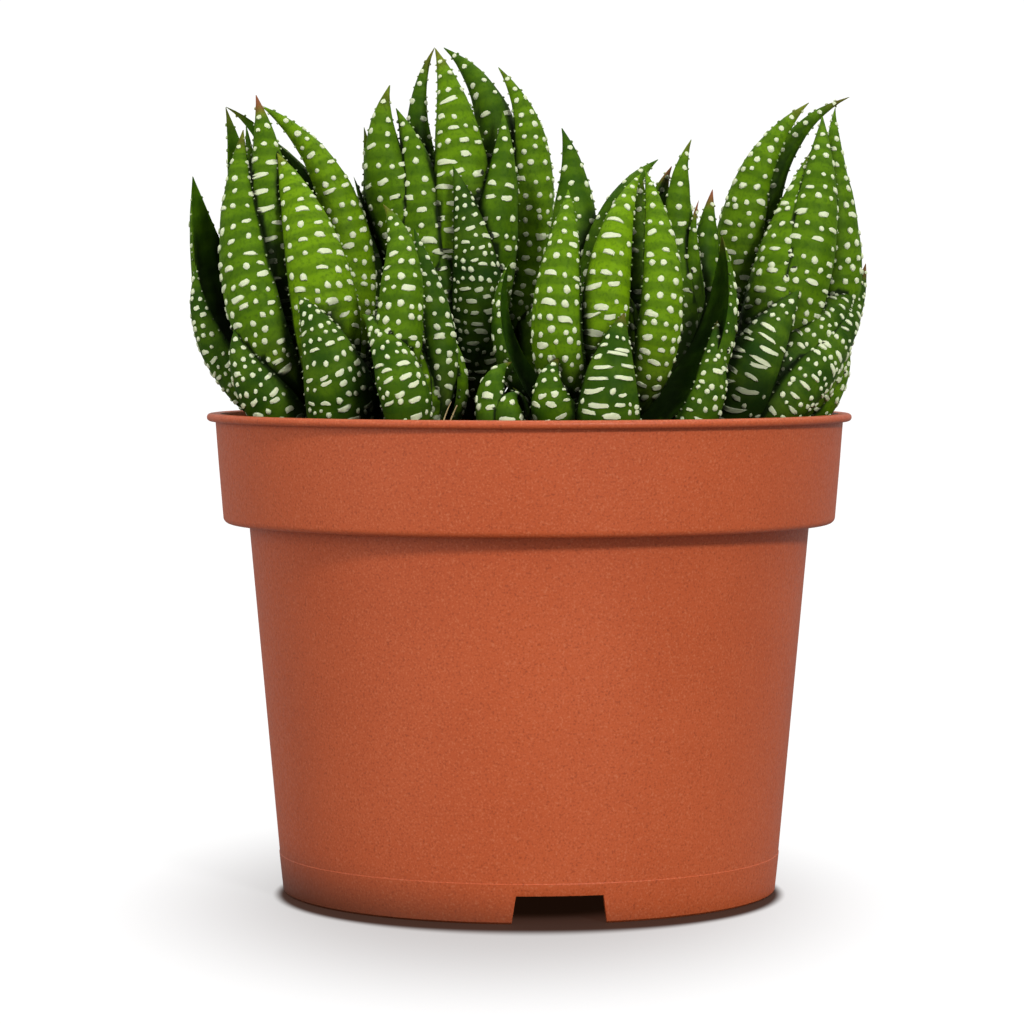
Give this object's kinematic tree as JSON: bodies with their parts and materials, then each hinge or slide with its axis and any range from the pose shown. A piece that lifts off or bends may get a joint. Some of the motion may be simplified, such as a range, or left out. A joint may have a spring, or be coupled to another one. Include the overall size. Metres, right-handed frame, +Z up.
{
  "type": "potted haworthia",
  "caption": "Clump of haworthia rosettes with pointed, incurved leaves crossed by raised white bands, growing in a round tapered plastic pot filled with peat.",
  "frame": {"origin": "middle of the pot's foot, on the surface it stands on", "axes": "+Z up, -Y towards the front that the picture shows, +X to the right"},
  "size_m": [0.126, 0.12, 0.1581],
  "materials": {
    "terracotta_plastic": "satin",
    "peat": "matte",
    "foliage": "satin"
  },
  "bodies": {
    "root": {"pot": "terracotta_plastic", "soil": "peat", "rosette_left": "foliage", "rosette_front_left": "foliage", "rosette_back": "foliage", "rosette_front": "foliage", "rosette_right": "foliage", "rosette_small": "foliage", "rosette_back_right": "foliage", "rosette_back_left": "foliage"}
  },
  "joints": []
}
